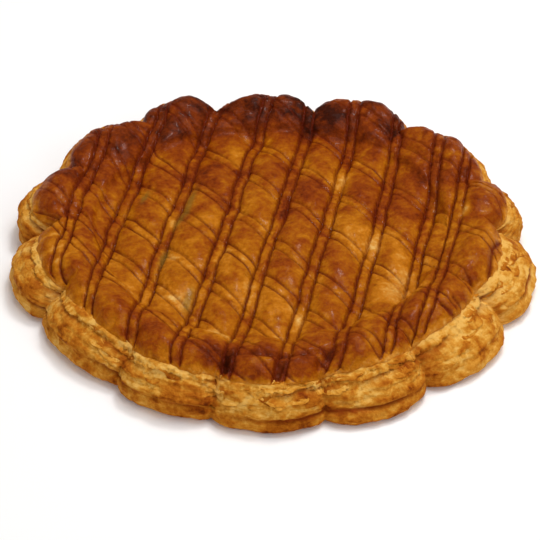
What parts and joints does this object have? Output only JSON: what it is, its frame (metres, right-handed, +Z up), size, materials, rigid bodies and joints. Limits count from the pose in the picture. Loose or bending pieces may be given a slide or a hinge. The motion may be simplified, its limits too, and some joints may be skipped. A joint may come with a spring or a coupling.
{
  "type": "galette des rois",
  "caption": "Whole round puff-pastry cake with a scalloped, puffed rim, a sunken filled middle scored in crossing double cuts, and flaky sides.",
  "frame": {"origin": "middle of the flat underside", "axes": "+Z up through the thickness; the long cuts run within about 11 degrees of +Y, leaning towards +X, and +X is square to +Y in the plane of the underside"},
  "size_m": [0.257, 0.248, 0.0303],
  "materials": {
    "pastry": "baked puff pastry, egg-washed brown on top and pale and flaky at the sides"
  },
  "bodies": {
    "root": {"galette": "pastry"}
  },
  "joints": []
}
